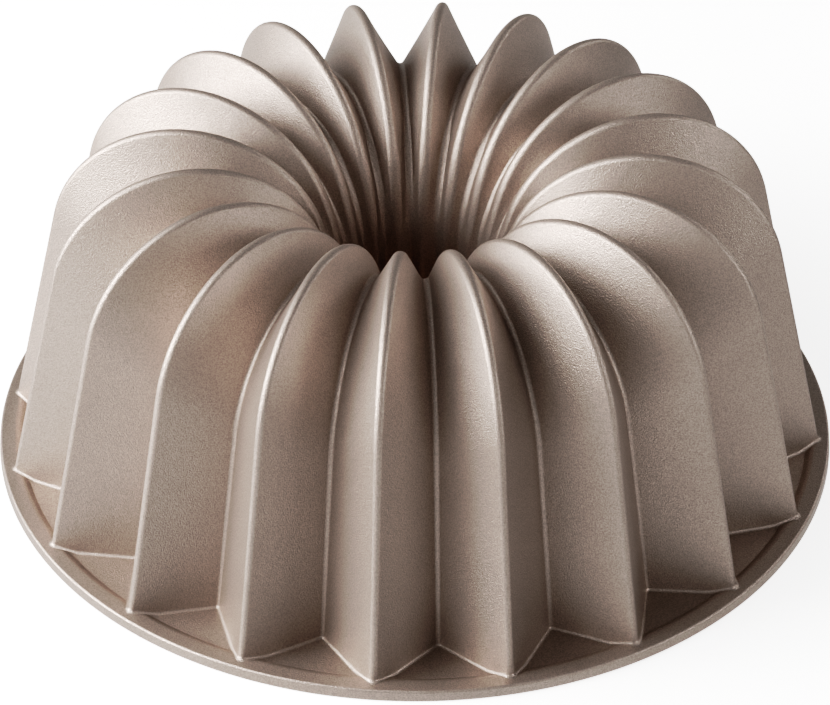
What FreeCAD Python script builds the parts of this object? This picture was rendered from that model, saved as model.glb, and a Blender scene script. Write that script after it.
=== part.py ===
"""Bundt pan: a one-piece cast-aluminium fluted ring mould, standing upside down on its rim.

The frame is millimetres, +Z up, with the origin in the middle of the rim's face. Twenty flutes run from the
rim up the outer wall, over the crown and down into the centre tube. A crest line lies in the XZ plane.
Each flute is a ruled form between a crest profile and the valley profiles half a pitch to each side.
The casting is divided face to face into four named regions: rim, outer wall, crown and centre tube.
"""

import FreeCAD
import Part
import Sketcher

import math
import os

SIZES = {
    "flutes": 20,
    "rim_radius": 130.0,
    "rim_draft": 6.0,
    "bead_height": 3.7,
    "bead_inner_radius": 124.2,
    "web_height": 2.0,
    "web_outer_radius": 122.4,
    "web_inner_radius": 95.0,
    "rim_edge_fillet": 0.7,
    "crest_foot_radius": 127.8,
    "crest_draft": 12.6,
    "crest_apex_radius": 70.1,
    "crest_apex_height": 107.2,
    "crest_inner_arc": 45.1,
    "crest_throat_arc": 106.0,
    "crest_throat_slope": 19.0,
    "crest_tube_draft": 4.4,
    "valley_foot_radius": 108.3,
    "valley_draft": 11.7,
    "valley_apex_radius": 57.4,
    "valley_apex_height": 90.8,
    "valley_inner_arc": 26.3,
    "valley_throat_arc": 52.6,
    "valley_throat_slope": 42.0,
    "valley_tube_draft": 1.4,
    "tube_end_height": 5.0,
    "crest_skin": 4.4,
    "valley_skin": 4.2,
    "mouth_overrun": 2.0,
    "crest_fillet": 1.5,
    "split_height": 60.0,
    "mid_radius": 62.0,
    "clearance": 10.0,
}

# How near two measures are taken to be the same, in millimetres or half pitches
TOLERANCE = 0.001

doc = FreeCAD.newDocument("bundt_pan")


def make_sheet():
    """The driving dimensions, one cell each: millimetres, degrees and a count."""
    sheet = doc.addObject("Spreadsheet::Sheet", "sizes")
    for row, (alias, value) in enumerate(SIZES.items(), start=1):
        sheet.set(f"A{row}", alias)
        sheet.set(f"B{row}", str(value))
        sheet.setAlias(f"B{row}", alias)
    doc.recompute()
    return sheet


def origin_plane(body, role):
    """One of a body's own origin planes or axes."""
    return next(f for f in body.Origin.OriginFeatures if f.Role == role)


def drive(sketch, name, expression, *constraint):
    """Adds a dimension to a sketch and binds it to the spreadsheet."""
    index = sketch.addConstraint(Sketcher.Constraint(*constraint))
    sketch.renameConstraint(index, name)
    sketch.setExpression(f"Constraints.{name}", expression)


def flute_profile(body, name, line, base, skin, turn):
    """A closed section through a form, in the half-plane at `turn` half pitches from the XZ plane.

    It runs up a drafted wall, over two arcs that meet at the apex, through a flatter throat arc and down
    the drafted tube to the base.
    `line` is crest or valley, `base` is how far the form reaches below the rim's face, and `skin` is the
    thickness by which a cavity section lies inside the outer one.
    """
    size = SIZES
    draft, tube = math.radians(size[f"{line}_draft"]), math.radians(size[f"{line}_tube_draft"])
    depth = size[skin] if skin else 0.0
    low = -size[base] if base else 0.0
    apex_r = size[f"{line}_apex_radius"]
    apex_z = size[f"{line}_apex_height"] - depth
    inner = size[f"{line}_inner_arc"] - depth
    neck = size[f"{line}_throat_arc"] - depth
    slope = math.radians(size[f"{line}_throat_slope"])
    foot = size[f"{line}_foot_radius"] - depth / math.cos(draft) - low * math.tan(draft)
    rise = (apex_z - low) * math.tan(draft)
    outer = (foot - apex_r - rise) / (math.cos(draft) - math.tan(draft) * (1 - math.sin(draft)))

    def on_arc(centre, radius, angle):
        return centre + FreeCAD.Vector(radius * math.cos(angle), radius * math.sin(angle), 0)

    normal = FreeCAD.Vector(0, 0, 1)
    centre_out, centre_in = (FreeCAD.Vector(apex_r, apex_z - r, 0) for r in (outer, inner))
    centre_neck = on_arc(centre_in, inner - neck, math.pi - slope)
    shoulder, throat = on_arc(centre_out, outer, draft), on_arc(centre_neck, neck, math.pi - tube)
    heel = FreeCAD.Vector(foot, low, 0)
    end = FreeCAD.Vector(throat.x - (throat.y - low) * math.tan(tube), low, 0)

    sketch = body.newObject("Sketcher::SketchObject", name)
    sketch.AttachmentSupport = (origin_plane(body, "XZ_Plane"), [""])
    sketch.MapMode = "FlatFace"
    if turn:
        sketch.setExpression("AttachmentOffset.Rotation.Axis.x", "0")
        sketch.setExpression("AttachmentOffset.Rotation.Axis.y", "1")
        sketch.setExpression("AttachmentOffset.Rotation.Axis.z", "0")
        sketch.setExpression("AttachmentOffset.Rotation.Angle", f"{turn} * 180deg / sizes.flutes")
    sketch.addGeometry(
        [
            Part.LineSegment(heel, shoulder),
            Part.ArcOfCircle(Part.Circle(centre_out, normal, outer), draft, math.pi / 2),
            Part.ArcOfCircle(Part.Circle(centre_in, normal, inner), math.pi / 2, math.pi - slope),
            Part.ArcOfCircle(Part.Circle(centre_neck, normal, neck), math.pi - slope, math.pi - tube),
            Part.LineSegment(end, throat),
            Part.LineSegment(end, heel),
        ]
    )
    sketch.addConstraint(
        [
            Sketcher.Constraint("Tangent", 0, 2, 1, 1),
            Sketcher.Constraint("Tangent", 1, 2, 2, 1),
            Sketcher.Constraint("Tangent", 2, 2, 3, 1),
            Sketcher.Constraint("Tangent", 3, 2, 4, 2),
            Sketcher.Constraint("Coincident", 4, 1, 5, 1),
            Sketcher.Constraint("Coincident", 5, 2, 0, 1),
            Sketcher.Constraint("Horizontal", 5),
            Sketcher.Constraint("Vertical", 1, 3, 1, 2),
        ]
    )
    skin_cell = f"sizes.{skin}" if skin else "0"
    base_cell = f"sizes.{base}" if base else "0"
    lean = f"sizes.{line}_draft * 1deg"
    if base:
        drive(sketch, "base", f"{base_cell} * 1mm", "DistanceY", 5, 1, -1, 1, -low)
    else:
        sketch.addConstraint(Sketcher.Constraint("PointOnObject", 5, 1, -1))
    foot_cell = (
        f"(sizes.{line}_foot_radius - {skin_cell} / cos({lean}) + {base_cell} * tan({lean})) * 1mm"
    )
    drive(sketch, "foot", foot_cell, "DistanceX", -1, 1, 0, 1, foot)
    drive(sketch, "draft", f"90deg + {lean}", "Angle", 0, math.pi / 2 + draft)
    drive(
        sketch, "apex_radius", f"sizes.{line}_apex_radius * 1mm", "DistanceX", -1, 1, 1, 2, apex_r
    )
    drive(
        sketch,
        "apex_height",
        f"(sizes.{line}_apex_height - {skin_cell}) * 1mm",
        "DistanceY",
        -1,
        1,
        1,
        2,
        apex_z,
    )
    drive(
        sketch,
        "inner_arc",
        f"(sizes.{line}_inner_arc - {skin_cell}) * 1mm",
        "Radius",
        2,
        inner,
    )
    neck_cell = f"(sizes.{line}_throat_arc - {skin_cell}) * 1mm"
    drive(sketch, "throat_arc", neck_cell, "Radius", 3, neck)
    turn_cell = f"(90 - sizes.{line}_throat_slope) * 1deg"
    drive(sketch, "throat_turn", turn_cell, "Angle", 2, math.pi / 2 - slope)
    lean_in = f"(90 - sizes.{line}_tube_draft) * 1deg"
    drive(sketch, "tube_draft", lean_in, "Angle", 4, math.pi / 2 - tube)
    return sketch


def on_crest(edge):
    """True for an edge that runs along a crest, above the base."""
    start, end = edge.Vertexes[0].Point, edge.Vertexes[-1].Point
    turns = [math.atan2(p.y, p.x) * SIZES["flutes"] / math.tau for p in (start, end)]
    level = start.z < TOLERANCE and end.z < TOLERANCE
    return not level and all(abs(turn - round(turn)) < TOLERANCE for turn in turns)


def round_over(base, name, wanted, radius):
    """A fillet on the edges of a shape for which `wanted` holds."""
    fillet = doc.addObject("Part::Fillet", name)
    fillet.Base = base
    fillet.Edges = [
        (index, radius, radius)
        for index, edge in enumerate(base.Shape.Edges, start=1)
        if wanted(edge)
    ]
    fillet.Label = name
    doc.recompute()
    return fillet


def fluted_form(name, base="", crest_skin="", valley_skin=""):
    """A solid form with all its flutes: one ruled flute from valley to valley, then a polar pattern."""
    body = doc.addObject("PartDesign::Body", name)
    sections = [
        flute_profile(body, f"{name}_valley_right", "valley", base, valley_skin, -1),
        flute_profile(body, f"{name}_crest", "crest", base, crest_skin, 0),
        flute_profile(body, f"{name}_valley_left", "valley", base, valley_skin, 1),
    ]
    flute = body.newObject("PartDesign::AdditiveLoft", f"{name}_flute")
    flute.Profile = sections[0]
    flute.Sections = sections[1:]
    flute.Ruled = True
    doc.recompute()
    ring = body.newObject("PartDesign::PolarPattern", f"{name}_ring")
    ring.Originals = [flute]
    ring.Axis = (origin_plane(body, "Z_Axis"), [""])
    ring.Angle = 360
    ring.setExpression("Occurrences", "sizes.flutes")
    body.Tip = ring
    doc.recompute()
    return body


def rim_blank():
    """The rim before the flutes' opening: a web, a ramp and a raised outer bead, all turned about Z."""
    size = SIZES
    body = doc.addObject("PartDesign::Body", "rim_blank")
    edge = size["rim_radius"] - size["bead_height"] * math.tan(math.radians(size["rim_draft"]))
    corners = [
        (size["web_inner_radius"], 0.0),
        (size["rim_radius"], 0.0),
        (edge, size["bead_height"]),
        (size["bead_inner_radius"], size["bead_height"]),
        (size["web_outer_radius"], size["web_height"]),
        (size["web_inner_radius"], size["web_height"]),
    ]
    points = [FreeCAD.Vector(r, z, 0) for r, z in corners]
    sketch = body.newObject("Sketcher::SketchObject", "rim_section")
    sketch.AttachmentSupport = (origin_plane(body, "XZ_Plane"), [""])
    sketch.MapMode = "FlatFace"
    sketch.addGeometry([Part.LineSegment(a, b) for a, b in zip(points, points[1:] + points[:1])])
    sketch.addConstraint(
        [Sketcher.Constraint("Coincident", i, 2, (i + 1) % 6, 1) for i in range(6)]
        + [
            Sketcher.Constraint("PointOnObject", 0, 1, -1),
            Sketcher.Constraint("Horizontal", 0),
            Sketcher.Constraint("Horizontal", 2),
            Sketcher.Constraint("Horizontal", 4),
            Sketcher.Constraint("Vertical", 5),
        ]
    )
    drive(sketch, "web_inner", "sizes.web_inner_radius * 1mm", "DistanceX", -1, 1, 0, 1, corners[0][0])
    drive(sketch, "outer", "sizes.rim_radius * 1mm", "DistanceX", -1, 1, 0, 2, corners[1][0])
    drive(sketch, "bead_top", "sizes.bead_height * 1mm", "DistanceY", -1, 1, 2, 1, corners[2][1])
    draft = math.pi / 2 + math.radians(size["rim_draft"])
    drive(sketch, "draft", "(90 + sizes.rim_draft) * 1deg", "Angle", 1, draft)
    drive(sketch, "bead_in", "sizes.bead_inner_radius * 1mm", "DistanceX", -1, 1, 3, 1, corners[3][0])
    drive(sketch, "web_out", "sizes.web_outer_radius * 1mm", "DistanceX", -1, 1, 4, 1, corners[4][0])
    drive(sketch, "web_top", "sizes.web_height * 1mm", "DistanceY", -1, 1, 4, 1, corners[4][1])
    turned = body.newObject("PartDesign::Revolution", "rim_turned")
    turned.Profile = sketch
    turned.ReferenceAxis = (sketch, ["V_Axis"])
    turned.Angle = 360
    body.Tip = turned
    doc.recompute()

    def is_outer_corner(item):
        box = item.BoundBox
        return box.ZMin > size["bead_height"] - TOLERANCE and box.XMax > edge - TOLERANCE

    return round_over(body, "rim_rounded", is_outer_corner, size["rim_edge_fillet"])


def cylinder(name, radius, height, base):
    """A cutting cylinder about Z with its radius, height and base height bound to the spreadsheet."""
    item = doc.addObject("Part::Cylinder", name)
    item.setExpression("Radius", f"({radius}) * 1mm")
    item.setExpression("Height", f"({height}) * 1mm")
    item.setExpression("Placement.Base.z", f"({base}) * 1mm")
    return item


def boolean(kind, name, base, tool):
    """A Part boolean of two objects."""
    item = doc.addObject(f"Part::{kind}", name)
    item.Base = base
    item.Tool = tool
    item.Label = name
    return item


def divide(casting, forms):
    """The four named regions of the casting, cut on two planes and one cylinder."""
    top = "sizes.crest_apex_height - sizes.split_height + sizes.clearance"
    reach = "sizes.rim_radius + sizes.clearance"
    low = cylinder("below_split", reach, "sizes.split_height + sizes.clearance", "-sizes.clearance")
    high = cylinder("above_split", reach, top, "sizes.split_height")
    core = cylinder("core", "sizes.mid_radius", "sizes.split_height + sizes.clearance", "-sizes.clearance")
    tube = cylinder(
        "tube_span", "sizes.mid_radius", "sizes.split_height - sizes.tube_end_height", "sizes.tube_end_height"
    )
    lower = boolean("Common", "lower_casting", casting, low)
    return [
        boolean("Cut", "rim_flange", forms["rim"], forms["outer"]),
        boolean("Cut", "fluted_wall", lower, core),
        boolean("Common", "fluted_crown", casting, high),
        boolean("Common", "centre_tube", casting, tube),
    ]


def check():
    """Stops if any object failed or any shape is missing or not valid."""
    for item in doc.Objects:
        if "Invalid" in item.State or "Error" in item.State:
            raise RuntimeError(f"{item.Name} did not recompute: {item.State}")
        shape = getattr(item, "Shape", None)
        if shape is not None and not item.isDerivedFrom("App::LocalCoordinateSystem"):
            if shape.isNull() or not shape.isValid():
                raise RuntimeError(f"{item.Name} has no valid shape")


make_sheet()
sharp = fluted_form("outer_form")
outer = round_over(sharp, "outer_rounded", on_crest, SIZES["crest_fillet"])
cavity = fluted_form("cavity_form", "mouth_overrun", "crest_skin", "valley_skin")
rim = rim_blank()
casting = boolean("Cut", "casting", outer, cavity)
doc.recompute()
regions = divide(casting, {"outer": outer, "rim": rim})
doc.recompute()
check()

os.makedirs("parts", exist_ok=True)
for region in regions:
    region.Shape.exportStep(f"parts/{region.Label}.step")
    print(region.Label, round(region.Shape.Volume / 1000, 2), "cm3", len(region.Shape.Faces), "faces")
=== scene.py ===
import math

import bpy
import numpy as np
from mathutils import Matrix, Vector


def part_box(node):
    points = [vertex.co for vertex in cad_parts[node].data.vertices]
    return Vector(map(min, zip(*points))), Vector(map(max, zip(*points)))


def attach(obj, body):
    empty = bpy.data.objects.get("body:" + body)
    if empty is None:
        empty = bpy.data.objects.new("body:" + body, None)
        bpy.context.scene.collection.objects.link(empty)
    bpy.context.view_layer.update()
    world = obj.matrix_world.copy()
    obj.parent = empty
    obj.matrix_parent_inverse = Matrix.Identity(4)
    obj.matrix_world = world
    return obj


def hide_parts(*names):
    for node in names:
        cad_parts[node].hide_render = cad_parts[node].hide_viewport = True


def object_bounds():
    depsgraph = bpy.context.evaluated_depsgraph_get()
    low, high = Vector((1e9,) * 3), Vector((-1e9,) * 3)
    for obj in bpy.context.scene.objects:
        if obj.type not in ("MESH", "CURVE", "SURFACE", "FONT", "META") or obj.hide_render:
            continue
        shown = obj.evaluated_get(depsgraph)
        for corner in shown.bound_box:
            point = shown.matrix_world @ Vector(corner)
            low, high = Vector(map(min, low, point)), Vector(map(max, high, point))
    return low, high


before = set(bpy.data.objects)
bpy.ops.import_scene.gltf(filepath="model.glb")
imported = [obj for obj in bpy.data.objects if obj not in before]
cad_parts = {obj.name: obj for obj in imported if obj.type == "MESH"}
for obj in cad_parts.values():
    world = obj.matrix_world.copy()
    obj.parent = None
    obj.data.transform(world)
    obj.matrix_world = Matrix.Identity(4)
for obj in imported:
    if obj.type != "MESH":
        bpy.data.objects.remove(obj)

# A one-piece cast bundt pan, dome up on its rim. The casting is one grid of rings and columns, split
# into the same four regions as the CAD nodes. Rings run round the pan; columns run over it, 2 * HALF of
# them to a flute. The flutes are worked out from a crest profile, the valley profiles beside it and the
# rounding of the crests and valleys.

CAD_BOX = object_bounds()
MM = 0.001

# ---------------------------------------------------------------- sizes, in millimetres and degrees

FLUTES = 20
HALF_PITCH = math.pi / FLUTES
CREST = {
    "foot": 127.1,
    "draft": 12.65,
    "apex_r": 70.15,
    "apex_z": 105.55,
    "arc": 43.9,
    "throat": 105.0,
    "slope": 19.2,
    "tube": 4.4,
}
VALLEY = {
    "foot": 108.4,
    "draft": 11.7,
    "apex_r": 57.4,
    "apex_z": 90.85,
    "arc": 26.1,
    "throat": 52.6,
    "slope": 42.0,
    "tube": 1.4,
}
# How far each skin lies inside the outer lines, and the rounding of its crests and valleys at
# u = 0 to 5, where u is the place along a line, as profile() explains
OUTSIDE = {
    "crest_skin": 0.0,
    "valley_skin": 0.0,
    "crest_round": [1.6, 1.6, 1.8, 2.2, 2.1, 1.8],
    "valley_round": [1.3, 1.3, 1.3, 1.3, 1.3, 1.3],
}
INSIDE = {
    "crest_skin": 4.4,
    "valley_skin": 3.6,
    "crest_round": [1.2, 1.2, 1.2, 1.2, 1.2, 1.2],
    "valley_round": [2.4, 2.4, 2.4, 2.4, 2.4, 2.0],
}
RIM_RADIUS = CAD_BOX[1].x / MM
WEB_HEIGHT = 2.0
BEAD_HEIGHT = 3.6
SPLIT_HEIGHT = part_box("fluted_crown")[0].z / MM
TUBE_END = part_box("centre_tube")[0].z / MM
FOOT_FILLET = 1.1
CREST_FOOT_FILLET = 1.6
MOUTH_ROUND = 0.9
TUBE_END_ROUND = 1.0

# Rim section: each corner's distance from the axis, height and rounding. The ends lie inside the wall.
UNDER_WALL = 100.0
RIM_CORNERS = [
    (UNDER_WALL, WEB_HEIGHT, 0.0),
    (122.4, WEB_HEIGHT, 0.5),
    (124.3, BEAD_HEIGHT, 3.0),
    (RIM_RADIUS - 0.35, BEAD_HEIGHT, 0.8),
    (RIM_RADIUS, 0.0, 0.5),
    (UNDER_WALL, 0.0, 0.0),
]

# Grid density: steps in each stretch of a half flute and of a column
CREST_STEPS = 4
FLANK_STEPS = 7
VALLEY_STEPS = 3
HALF = CREST_STEPS + FLANK_STEPS + VALLEY_STEPS
FILLET_STEPS = 4
WALL_STEPS = 8
SHOULDER_STEPS = 30
THROAT_STEPS = 42
TUBE_STEPS = 8
CORNER_STEPS = 4

# Numerical work: passes that fit the roundings, halvings that find a height, and small steps of u
FITTING_PASSES = 6
HALVINGS = 40
NORMAL_STEP = 1e-4
SPEED_STEP = 1e-3

UP = np.array([0.0, 0.0, 1.0])
ACROSS_CREST = np.array([0.0, 1.0, 0.0])
ACROSS_VALLEY = np.array([-math.sin(HALF_PITCH), math.cos(HALF_PITCH), 0.0])


# ---------------------------------------------------------------- the fluted surface


def profile(line, skin, u):
    """(r, z) along a crest or valley line, `skin` inside the outer surface.

    u runs from 0 to 1 up the wall, from 1 to 2 and 2 to 3 over the crown, from 3 to 4 through the throat
    and from 4 to 5 down the tube.
    """
    draft, slope, tube = (math.radians(line[key]) for key in ("draft", "slope", "tube"))
    apex_r = line["apex_r"]
    apex_z = line["apex_z"] - skin
    inner_arc = line["arc"] - skin
    neck = line["throat"] - skin
    foot = line["foot"] - skin / math.cos(draft)
    rise = apex_z * math.tan(draft)
    outer_arc = (foot - apex_r - rise) / (
        math.cos(draft) - math.tan(draft) * (1 - math.sin(draft))
    )

    def arc(centre_r, centre_z, radius, angle):
        return centre_r + radius * np.cos(angle), centre_z + radius * np.sin(angle)

    neck_r, neck_z = arc(apex_r, apex_z - inner_arc, inner_arc - neck, math.pi - slope)
    shoulder = arc(apex_r, apex_z - outer_arc, outer_arc, draft)
    throat = arc(neck_r, neck_z, neck, math.pi - tube)
    turn = (
        math.pi / 2 + (u - 2) * (math.pi / 2 - draft),
        math.pi / 2 + (u - 2) * (math.pi / 2 - slope),
        math.pi - slope + (u - 3) * (slope - tube),
    )
    pieces = [
        (foot + u * (shoulder[0] - foot), u * shoulder[1]),
        arc(apex_r, apex_z - outer_arc, outer_arc, turn[0]),
        arc(apex_r, apex_z - inner_arc, inner_arc, turn[1]),
        arc(neck_r, neck_z, neck, turn[2]),
        (throat[0] - (u - 4) * throat[1] * math.tan(tube), (5 - u) * throat[1]),
    ]
    stretch = np.clip(np.floor(u), 0, 4).astype(int)
    r = np.choose(stretch, [np.broadcast_to(p[0], u.shape) for p in pieces])
    z = np.choose(stretch, [np.broadcast_to(p[1], u.shape) for p in pieces])
    return r, z


def unit(v):
    return v / np.linalg.norm(v, axis=-1, keepdims=True)


def rounding(corner, leg, across, radius):
    """Centre, inward bisector, outward side and half angle of the arc that rounds a corner."""
    sideways = (leg * across).sum(-1, keepdims=True)
    bisector = unit(leg - sideways * across)
    half_angle = np.arctan2(np.abs(sideways), (leg * bisector).sum(-1, keepdims=True))
    centre = corner + bisector * radius / np.sin(half_angle)
    return centre, bisector, np.sign(sideways) * across, half_angle


def fit_roundings(crest, valley, crest_radius, valley_radius):
    """The direction from crest to valley, and the roundings of both corners."""
    flank = unit(valley - crest)
    at_crest = rounding(crest, flank, ACROSS_CREST, crest_radius)
    at_valley = rounding(valley, -flank, ACROSS_VALLEY, valley_radius)
    return flank, at_crest, at_valley


def section(side, u):
    """The sharp crest and valley corners at u, the direction between them, and their roundings.

    The corners lie past the profiles by as much as the rounding takes off.
    """
    crest_r, crest_z = profile(CREST, side["crest_skin"], u)
    valley_r, valley_z = profile(VALLEY, side["valley_skin"], u)
    crest_line = np.stack([crest_r, 0 * u, crest_z], -1)
    valley_line = np.stack(
        [valley_r * math.cos(HALF_PITCH), valley_r * math.sin(HALF_PITCH), valley_z], -1
    )
    stops = range(6)
    crest_radius = np.interp(u, stops, side["crest_round"])[..., None]
    valley_radius = np.interp(u, stops, side["valley_round"])[..., None]
    crest, valley = crest_line, valley_line
    for _ in range(FITTING_PASSES):
        _, at_crest, at_valley = fit_roundings(crest, valley, crest_radius, valley_radius)
        crest = crest_line - at_crest[1] * crest_radius * (1 / np.sin(at_crest[3]) - 1)
        valley = valley_line - at_valley[1] * valley_radius * (1 / np.sin(at_valley[3]) - 1)
    flank, at_crest, at_valley = fit_roundings(crest, valley, crest_radius, valley_radius)
    return crest, valley, flank, crest_radius, valley_radius, at_crest, at_valley


def on_arc(rounded, radius, step, steps):
    """A point on a rounded corner, `step` of `steps` from its middle to the flank, and its direction."""
    centre, inward, outward_side, half_angle = rounded
    phi = (math.pi / 2 - half_angle) * step / steps
    point = centre + radius * (outward_side * np.sin(phi) - inward * np.cos(phi))
    return point, outward_side * np.cos(phi) + inward * np.sin(phi)


def column(side, k, u):
    """Points of column k of a half flute at each u, and the direction from crest to valley there.

    Column 0 is the crest line and column HALF the valley line, half a pitch towards +Y.
    """
    crest, valley, flank, crest_radius, valley_radius, at_crest, at_valley = section(side, u)
    if k <= CREST_STEPS:
        return on_arc(at_crest, crest_radius, k, CREST_STEPS)
    if k >= CREST_STEPS + FLANK_STEPS:
        point, way = on_arc(at_valley, valley_radius, HALF - k, VALLEY_STEPS)
        return point, -way
    start = crest + flank * crest_radius / np.tan(at_crest[3])
    end = valley - flank * valley_radius / np.tan(at_valley[3])
    return start + (end - start) * (k - CREST_STEPS) / FLANK_STEPS, flank


def column_normal(side, k, u):
    """Unit normals of column k, pointing out of the dome."""
    along = column(side, k, u + NORMAL_STEP)[0] - column(side, k, u - NORMAL_STEP)[0]
    return unit(np.cross(column(side, k, u)[1], along))


def solve(side, k, gap, low, high):
    """The u between low and high at which gap(point) changes sign on column k, by halving."""
    low, high = np.array([low]), np.array([high])
    rising = gap(column(side, k, low)[0][0]) < 0
    for _ in range(HALVINGS):
        mid = (low + high) / 2
        below = gap(column(side, k, mid)[0][0]) < 0
        low, high = (mid, high) if below == rising else (low, mid)
    return float(low[0])


# ---------------------------------------------------------------- rings, as points and normals


class Half:
    """Makes rings of one skin, for the HALF + 1 columns of a half flute."""

    def __init__(self, side, facing):
        self.side = side
        self.facing = facing

    def span(self, starts, ends, steps, skip_first=False):
        """Rings in even steps from each column's start u to its end u."""
        rings = []
        for step in range(1 if skip_first else 0, steps + 1):
            u = [a + (b - a) * step / steps for a, b in zip(starts, ends)]
            points = [column(self.side, k, np.array([v]))[0][0] for k, v in enumerate(u)]
            normals = [column_normal(self.side, k, np.array([v]))[0] for k, v in enumerate(u)]
            rings.append((np.array(points), self.facing * np.array(normals)))
        return rings

    def at_height(self, height, low, high):
        """Each column's u, between low and high, where the skin is at that height."""
        return [
            solve(self.side, k, lambda p: p[2] - height, low, high) for k in range(HALF + 1)
        ]


def rounded_section(corners):
    """A section through corners with radii, as (r, z) points and their outward normals, in order."""
    points, normals = [], []
    for before, here, after in zip(corners[:-2], corners[1:-1], corners[2:]):
        corner = np.array(here[:2])
        back = unit(np.array(before[:2]) - corner)
        ahead = unit(np.array(after[:2]) - corner)
        half = math.acos(float(np.dot(back, ahead))) / 2
        centre = corner + unit(back + ahead) * here[2] / math.sin(half)
        outward = [np.array([back[1], -back[0]]), np.array([-ahead[1], ahead[0]])]
        convex = np.dot(outward[0], ahead) < 0
        for step in range(CORNER_STEPS + 1):
            t = step / CORNER_STEPS
            total = math.pi - 2 * half
            mix = [math.sin((1 - t) * total), math.sin(t * total)]
            normal = unit(mix[0] * outward[0] + mix[1] * outward[1])
            points.append(centre + normal * here[2] * (1 if convex else -1))
            normals.append(normal)
    return np.array(points), np.array(normals)


RIM_POINTS, RIM_NORMALS = rounded_section(RIM_CORNERS)
# The rim's top is made of the points of its first three rounded corners
TOP_COUNT = 3 * (CORNER_STEPS + 1)


def rim_top(r):
    """Height of the rim's top at radius r, and its outward normal as (r, z)."""
    r_line = RIM_POINTS[:TOP_COUNT, 0]
    z = np.interp(r, r_line, RIM_POINTS[:TOP_COUNT, 1])
    normal = [np.interp(r, r_line, RIM_NORMALS[:TOP_COUNT, axis]) for axis in (0, 1)]
    return z, normal


def radial(point):
    """Distance from the axis and the unit direction away from it."""
    r = math.hypot(point[0], point[1])
    return r, np.array([point[0] / r, point[1] / r, 0.0])


def level_corner(half, k, foot_u, foot_z, radius):
    """The u where column k's skin meets the arc that leads to a level surface at foot_z, and that arc.

    The arc is a list of points and their directions from its centre. It ends on the level surface.
    """
    normal = column_normal(half.side, k, np.array([foot_u]))[0]
    draft = math.asin(normal[2])
    outward = unit(np.array([normal[0], normal[1], 0.0]))
    reach = radius / math.tan((math.pi / 2 + draft) / 2)
    corner = column(half.side, k, np.array([foot_u]))[0][0]
    above = column(half.side, k, np.array([foot_u + SPEED_STEP]))[0][0]
    top_u = foot_u + reach / (np.linalg.norm(above - corner) / SPEED_STEP)
    centre = np.array([corner[0], corner[1], foot_z]) + outward * reach + UP * radius
    arc = []
    for i in range(FILLET_STEPS + 1):
        angle = math.pi + draft + (math.pi / 2 - draft) * i / FILLET_STEPS
        away = outward * math.cos(angle) + UP * math.sin(angle)
        arc.append((centre + radius * away, away))
    return top_u, arc


def rings_of(columns):
    """Turns per-column lists of (point, normal) into rings."""
    return [
        (np.array([c[i][0] for c in columns]), np.array([c[i][1] for c in columns]))
        for i in range(len(columns[0]))
    ]


def whole(ring):
    """All the columns of a ring, from those of a half flute."""
    flip = np.array([1.0, -1.0, 1.0])
    pitch = 2 * HALF_PITCH
    turn = np.array(
        [[math.cos(pitch), math.sin(pitch), 0], [-math.sin(pitch), math.cos(pitch), 0], [0, 0, 1]]
    )
    block = [np.concatenate([part, (part[1:-1][::-1] * flip) @ turn]) for part in ring]
    turned = []
    for part in block:
        flutes = []
        for flute in range(FLUTES):
            flutes.append(part)
            part = part @ turn
        turned.append(np.concatenate(flutes))
    return tuple(turned)


outer = Half(OUTSIDE, 1.0)
inner = Half(INSIDE, -1.0)

# Where the outer skin meets the rim, with its fillet
foot_columns, wall_start = [], []
for k in range(HALF + 1):
    foot_u = solve(OUTSIDE, k, lambda p: p[2] - rim_top(math.hypot(p[0], p[1]))[0], 0.0, 0.3)
    foot = column(OUTSIDE, k, np.array([foot_u]))[0][0]
    nearness = max(0.0, 1 - k / (CREST_STEPS + 1))
    fillet = FOOT_FILLET + (CREST_FOOT_FILLET - FOOT_FILLET) * nearness
    top_u, arc = level_corner(outer, k, foot_u, foot[2], fillet)
    wall_start.append(top_u)
    end_r, away = radial(arc[-1][0])
    drop = rim_top(end_r)[0] - foot[2]
    column_rings = []
    for i, (point, inward) in enumerate(arc):
        share = (i / FILLET_STEPS) ** 2
        column_rings.append((point + UP * drop * share, -inward))
    slope = rim_top(end_r)[1]
    column_rings[-1] = (column_rings[-1][0], away * slope[0] + UP * slope[1])
    for (r, z), (n_r, n_z) in zip(RIM_POINTS, RIM_NORMALS):
        top = len(column_rings) - FILLET_STEPS - 1 < TOP_COUNT
        if top and r <= end_r:
            column_rings.append(column_rings[FILLET_STEPS])
        else:
            column_rings.append((away * r + UP * z, away * n_r + UP * n_z))
    foot_columns.append(column_rings)
foot_and_rim = rings_of(foot_columns)

# Where the cavity meets the rim's face, with its rounded mouth
mouth_columns, cavity_start = [], []
for k in range(HALF + 1):
    top_u, arc = level_corner(inner, k, 0.0, 0.0, MOUTH_ROUND)
    cavity_start.append(top_u)
    mouth_columns.append(arc)
mouth = rings_of(mouth_columns)

# The two skins, cut where the CAD regions are cut. Each cut is looked for between two values of u.
APEX = [2.0] * (HALF + 1)
skins = {}
for name, half, start in (("outer", outer, wall_start), ("inner", inner, cavity_start)):
    split_out = half.at_height(SPLIT_HEIGHT, 0.3, 1.6)
    split_in = half.at_height(SPLIT_HEIGHT, 2.6, 4.8)
    end = half.at_height(TUBE_END + TUBE_END_ROUND, 4.0, 5.0)
    skins[name] = {
        "wall": half.span(start, split_out, WALL_STEPS),
        "shoulder": half.span(split_out, APEX, SHOULDER_STEPS),
        "throat": half.span(APEX, split_in, THROAT_STEPS, skip_first=True),
        "tube": half.span(split_in, end, TUBE_STEPS),
    }

# The outline of the outer skin on the rim's flat face, which faces down
outline_points = np.array([column(OUTSIDE, k, np.array([0.0]))[0][0] for k in range(HALF + 1)])
base_outline = [(outline_points, np.tile(-UP, (HALF + 1, 1)))]

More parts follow.
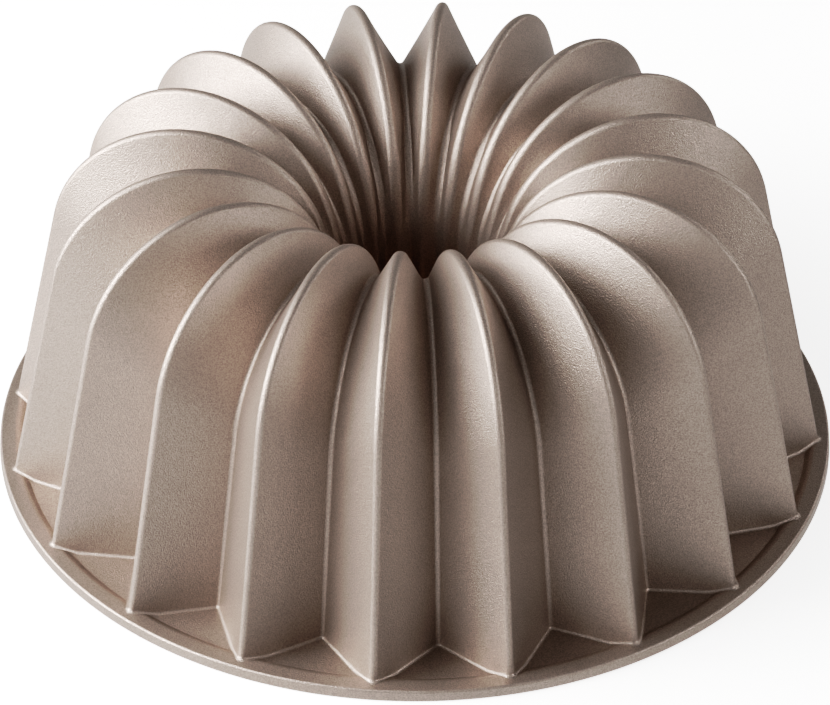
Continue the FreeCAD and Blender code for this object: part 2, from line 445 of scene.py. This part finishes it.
# The tube's rounded end, from the hole side to the batter side
tube_end = []
hole, batter = skins["outer"]["tube"][-1], skins["inner"]["tube"][-1]
for k in range(HALF + 1):
    start, finish = hole[0][k], batter[0][k]
    across = unit(finish - start)
    steps = []
    for i in range(1, FILLET_STEPS + 1):
        angle = math.pi / 2 * i / FILLET_STEPS
        point = start + TUBE_END_ROUND * (across * (1 - math.cos(angle)) - UP * math.sin(angle))
        steps.append((point, unit(hole[1][k] * math.cos(angle) - UP * math.sin(angle))))
    for i in reversed(range(1, FILLET_STEPS + 1)):
        angle = math.pi / 2 * i / FILLET_STEPS
        point = finish - TUBE_END_ROUND * (across * (1 - math.cos(angle)) + UP * math.sin(angle))
        steps.append((point, unit(batter[1][k] * math.cos(angle) - UP * math.sin(angle))))
    tube_end.append(steps)
tube_end = rings_of(tube_end)


# ---------------------------------------------------------------- meshes

OUT, IN, CUT = 0, 1, None


def ring_piece(name, node, stretches, materials):
    """A closed ring-shaped piece from stretches, each (rings, material index).

    CUT joins the last ring so far to the next stretch, or back to the first ring, with the flat faces
    of a hidden cut.
    """
    points, loops = [], []
    for rings, coat in stretches:
        if coat is CUT:
            loops.append((len(points) - 1, CUT, None))
            continue
        full = [whole(ring) for ring in rings]
        first = len(points)
        points.extend(ring[0] for ring in full)
        loops.extend((first + i, coat, (full[i][1], full[i + 1][1])) for i in range(len(full) - 1))
    rows, cols = len(points), len(points[0])
    verts = np.concatenate(points) * MM
    faces, kinds, normals = [], [], []
    for row, coat, pair in loops:
        following = (row + 1) % rows
        for col in range(cols):
            right = (col + 1) % cols
            faces.append(
                (
                    row * cols + col,
                    row * cols + right,
                    following * cols + right,
                    following * cols + col,
                )
            )
            kinds.append(coat)
            if pair is None:
                normals.append(None)
            else:
                normals.append((pair[0][col], pair[0][right], pair[1][right], pair[1][col]))
    # Points that coincide become one vertex, and faces with fewer than three corners left are dropped
    keys, index = np.unique(np.round(verts, 7), axis=0, return_inverse=True)
    index = index.reshape(-1)
    clean, clean_kinds, corner_normals = [], [], []
    for face, kind, corners in zip(faces, kinds, normals):
        kept = []
        for place, vert in enumerate(face):
            if index[vert] not in [k[0] for k in kept]:
                kept.append((int(index[vert]), place))
        if len(kept) < 3:
            continue
        clean.append([k[0] for k in kept])
        clean_kinds.append(kind)
        corner_normals.append(None if corners is None else [corners[k[1]] for k in kept])
    mesh = bpy.data.meshes.new(name)
    mesh.from_pydata([tuple(v) for v in keys], [], clean)
    piece = bpy.data.objects.new(name, mesh)
    bpy.context.scene.collection.objects.link(piece)
    for material in materials:
        mesh.materials.append(material)
    flat = []
    for polygon, kind, corners in zip(mesh.polygons, clean_kinds, corner_normals):
        polygon.use_smooth = True
        polygon.material_index = kind or 0
        if corners is None:
            flat.extend([tuple(polygon.normal)] * len(polygon.vertices))
        else:
            flat.extend(tuple(corner) for corner in corners)
    mesh.normals_split_custom_set(flat)
    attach(piece, "root")
    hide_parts(node)
    return piece


# ---------------------------------------------------------------- materials

TAUPE = (0.472, 0.408, 0.37)
INSIDE_TONE = 0.92
INSIDE_TAUPE = [c * INSIDE_TONE for c in TAUPE]
METALLIC = 0.8
# The grain's noise per metre, its darkest and brightest tones, and how much it changes the roughness
GRAIN_SCALE = 2300
GRAIN_DARK = 0.87
GRAIN_BRIGHT = 1.13
GRAIN_ROUGHNESS = 0.06
# Broad, faint changes of tone over the whole casting
BROAD_SCALE = 22
BROAD_DARK = 0.95
BROAD_BRIGHT = 1.05
BUMP_SCALE = 2500
BUMP_DISTANCE = 0.00019


def coating(name, base, roughness, bump_strength):
    """A satin metallic coat with a fine grain in its tone, roughness and surface."""
    material = bpy.data.materials.new(name)
    material.use_nodes = True
    nodes, links = material.node_tree.nodes, material.node_tree.links
    nodes.clear()
    output = nodes.new("ShaderNodeOutputMaterial")
    shader = nodes.new("ShaderNodeBsdfPrincipled")
    links.new(shader.outputs["BSDF"], output.inputs["Surface"])
    place = nodes.new("ShaderNodeTexCoord")

    def noise(scale, detail):
        node = nodes.new("ShaderNodeTexNoise")
        node.inputs["Scale"].default_value = scale
        node.inputs["Detail"].default_value = detail
        links.new(place.outputs["Object"], node.inputs["Vector"])
        return node.outputs["Fac"]

    def remap(value, low, high, to_low, to_high):
        node = nodes.new("ShaderNodeMapRange")
        node.inputs["From Min"].default_value = low
        node.inputs["From Max"].default_value = high
        node.inputs["To Min"].default_value = to_low
        node.inputs["To Max"].default_value = to_high
        links.new(value, node.inputs["Value"])
        return node.outputs["Result"]

    fine = noise(GRAIN_SCALE, 2)
    broad = noise(BROAD_SCALE, 3)
    tone = nodes.new("ShaderNodeMix")
    tone.data_type = "RGBA"
    tone.inputs[6].default_value = [c * GRAIN_DARK for c in base] + [1]
    tone.inputs[7].default_value = [c * GRAIN_BRIGHT for c in base] + [1]
    links.new(remap(fine, 0.35, 0.65, 0.0, 1.0), tone.inputs[0])
    shade = nodes.new("ShaderNodeHueSaturation")
    links.new(tone.outputs[2], shade.inputs["Color"])
    links.new(remap(broad, 0.3, 0.7, BROAD_DARK, BROAD_BRIGHT), shade.inputs["Value"])
    links.new(shade.outputs["Color"], shader.inputs["Base Color"])
    shader.inputs["Metallic"].default_value = METALLIC
    dull, shiny = roughness + GRAIN_ROUGHNESS, roughness - GRAIN_ROUGHNESS
    links.new(remap(fine, 0.3, 0.7, dull, shiny), shader.inputs["Roughness"])
    bump = nodes.new("ShaderNodeBump")
    bump.inputs["Strength"].default_value = bump_strength
    bump.inputs["Distance"].default_value = BUMP_DISTANCE
    links.new(noise(BUMP_SCALE, 2), bump.inputs["Height"])
    links.new(bump.outputs["Normal"], shader.inputs["Normal"])
    return material


COATS = [
    coating("metallic_coat", TAUPE, 0.46, 0.9),
    coating("nonstick_coat", INSIDE_TAUPE, 0.4, 0.4),
]

ring_piece(
    "rim",
    "rim_flange",
    [(base_outline + foot_and_rim[::-1], OUT), ([], CUT)],
    COATS,
)
ring_piece(
    "outer_flutes",
    "fluted_wall",
    [
        (skins["outer"]["wall"], OUT),
        ([], CUT),
        (skins["inner"]["wall"][::-1] + mouth[1:], IN),
        ([], CUT),
        (base_outline, OUT),
        ([], CUT),
    ],
    COATS,
)
ring_piece(
    "crown_flutes",
    "fluted_crown",
    [
        (skins["outer"]["shoulder"] + skins["outer"]["throat"], OUT),
        ([], CUT),
        ((skins["inner"]["shoulder"] + skins["inner"]["throat"])[::-1], IN),
        ([], CUT),
    ],
    COATS,
)
ring_piece(
    "tube_flutes",
    "centre_tube",
    [
        (skins["outer"]["tube"] + tube_end, OUT),
        ([], CUT),
        (skins["inner"]["tube"][::-1], IN),
        ([], CUT),
    ],
    COATS,
)

# ---------------------------------------------------------------- stage and light

FLOOR_REACH = 3.0
FLOOR_GLOW = 1.0
DISC_INSET = 2.0
DISC_SIDES = 64
# Strength of the disc's glow: painted warm light, seen through the tube's hole
UNDER_PAN_PAINTED_GLOW = 0.24
LIGHT_COLOUR = (1.0, 0.995, 0.99)
LIGHT_DISTANCE = 1.4
LIGHT_AIM = Vector((0, 0, 0.05))
# Name, bearing and height in degrees, width and depth in metres, and power in watts
LAMPS = [
    ("key_wide", 257, 28, 1.0, 1.0, 14.7),
    ("key_near", 248, 30, 0.5, 0.5, 5.0),
    ("key_low", 262, 9, 1.0, 0.3, 7.2),
    ("key_high", 265, 55, 0.7, 0.6, 3.8),
    ("front_left", 225, 32, 0.5, 0.7, 2.4),
    ("right", 108, 20, 0.6, 0.6, 4.2),
    ("back_right", 52, 24, 0.6, 0.5, 2.6),
]
# The surround's strength along -X, -Y and -Z, and along +X, +Y and +Z
SURROUND_LEFT_FRONT_BELOW = (-0.48, -0.36, -1.1)
SURROUND_RIGHT_BACK_ABOVE = (0.02, 0.18, 0.05)


def glowing(name, color, glow_color, glow):
    """A matt stage material that gives off a little light of its own."""
    material = bpy.data.materials.new(name)
    material.use_nodes = True
    shader = material.node_tree.nodes["Principled BSDF"]
    shader.inputs["Base Color"].default_value = (*color, 1)
    shader.inputs["Roughness"].default_value = 0.9
    shader.inputs["Emission Color"].default_value = (*glow_color, 1)
    shader.inputs["Emission Strength"].default_value = glow
    return material


def flat_stage(name, points, material):
    """A level sheet of the stage through (x, y, z) points."""
    mesh = bpy.data.meshes.new(name)
    mesh.from_pydata(points, [], [tuple(range(len(points)))])
    item = bpy.data.objects.new(name, mesh)
    bpy.context.scene.collection.objects.link(item)
    mesh.materials.append(material)
    return item


def floor():
    """A pale floor that the pan doesn't reflect, and a dim warm disc that shades the pan from below. The
    disc's warm colour and glow are painted light, standing in for warm light seen through the tube's
    hole.
    """
    paper = glowing("paper", (0.95, 0.95, 0.95), (1, 1, 1), FLOOR_GLOW)
    signs = ((-1, -1), (1, -1), (1, 1), (-1, 1))
    corners = [(x * FLOOR_REACH, y * FLOOR_REACH, 0) for x, y in signs]
    sheet = flat_stage("floor", corners, paper)
    sheet.visible_diffuse = False
    sheet.visible_glossy = False
    radius = (RIM_RADIUS - DISC_INSET) * MM
    turns = [math.tau * i / DISC_SIDES for i in range(DISC_SIDES)]
    circle = [(radius * math.cos(t), radius * math.sin(t), -MM) for t in turns]
    # Painted light: the disc's warm colour and glow stand in for warm light seen through the tube's hole
    shade = glowing("shade", (0.6, 0.45, 0.35), (1, 0.62, 0.45), UNDER_PAN_PAINTED_GLOW)
    flat_stage("under_pan", circle, shade)


def softbox(name, bearing, height, width, depth, power):
    """An area light aimed at the pan, at a bearing clockwise from +Y and a height, both in degrees."""
    data = bpy.data.lights.new(name, "AREA")
    data.shape = "RECTANGLE"
    data.size = width
    data.size_y = depth
    data.energy = power
    data.color = LIGHT_COLOUR
    turn, lift = math.radians(bearing), math.radians(height)
    away = Vector(
        (math.sin(turn) * math.cos(lift), math.cos(turn) * math.cos(lift), math.sin(lift))
    )
    item = bpy.data.objects.new(name, data)
    item.location = away * LIGHT_DISTANCE + LIGHT_AIM
    item.rotation_euler = (-away).to_track_quat("-Z", "Y").to_euler()
    bpy.context.scene.collection.objects.link(item)


def studio_world():
    """A faint surround, brightest below, to the left and in front, where pale paper bounces light."""
    world = bpy.data.worlds.new("studio")
    world.use_nodes = True
    nodes, links = world.node_tree.nodes, world.node_tree.links
    background = nodes["Background"]
    background.inputs["Color"].default_value = (*LIGHT_COLOUR, 1)
    place = nodes.new("ShaderNodeTexCoord")

    def vector_math(operation, first, second):
        node = nodes.new("ShaderNodeVectorMath")
        node.operation = operation
        links.new(first, node.inputs[0])
        node.inputs[1].default_value = second
        return node.outputs["Value" if operation == "DOT_PRODUCT" else "Vector"]

    direction = place.outputs["Generated"]
    low = vector_math("MINIMUM", direction, (0, 0, 0))
    high = vector_math("MAXIMUM", direction, (0, 0, 0))
    total = nodes.new("ShaderNodeMath")
    total.operation = "ADD"
    links.new(vector_math("DOT_PRODUCT", low, SURROUND_LEFT_FRONT_BELOW), total.inputs[0])
    links.new(vector_math("DOT_PRODUCT", high, SURROUND_RIGHT_BACK_ABOVE), total.inputs[1])
    links.new(total.outputs["Value"], background.inputs["Strength"])
    bpy.context.scene.world = world


floor()
for lamp in LAMPS:
    softbox(*lamp)
studio_world()

# A photographic response: a soft toe, and a shoulder that reaches white at twice the usual level
RESPONSE_WHITE = 2.0
RESPONSE = [
    (0.0, 0.0),
    (0.015, 0.004),
    (0.03, 0.018),
    (0.05, 0.052),
    (0.09, 0.14),
    (0.15, 0.315),
    (0.275, 0.57),
    (0.52, 0.8),
    (1.0, 1.0),
]
view = bpy.context.scene.view_settings
view.view_transform = "Standard"
view.use_curve_mapping = True
view.curve_mapping.white_level = [RESPONSE_WHITE] * 3
response = view.curve_mapping.curves[3]
response.points[0].location = RESPONSE[0]
response.points[1].location = RESPONSE[-1]
for spot in RESPONSE[1:-1]:
    response.points.new(*spot)
view.curve_mapping.update()

# ---------------------------------------------------------------- camera

AZIMUTH = math.radians(5.34)
ELEVATION = math.radians(36.5)
ROLL = 0.0025
DISTANCE = 1.1084
TARGET = Vector((0, 0, 0.02806))
SENSOR_WIDTH = 36
LENS = 155.0
NEAREST = 0.01
FARTHEST = 20

back = Vector(
    (
        math.sin(AZIMUTH) * math.cos(ELEVATION),
        -math.cos(AZIMUTH) * math.cos(ELEVATION),
        math.sin(ELEVATION),
    )
)
camera = bpy.data.objects.new("camera", bpy.data.cameras.new("camera"))
bpy.context.scene.collection.objects.link(camera)
level = Vector((math.cos(AZIMUTH), math.sin(AZIMUTH), 0))
upward = back.cross(level)
right = level * math.cos(ROLL) + upward * math.sin(ROLL)
axes = Matrix((right, back.cross(right), back)).transposed()
camera.matrix_world = Matrix.Translation(TARGET + back * DISTANCE) @ axes.to_4x4()
camera.data.sensor_width = SENSOR_WIDTH
camera.data.lens = LENS
camera.data.clip_start = NEAREST
camera.data.clip_end = FARTHEST
bpy.context.scene.camera = camera
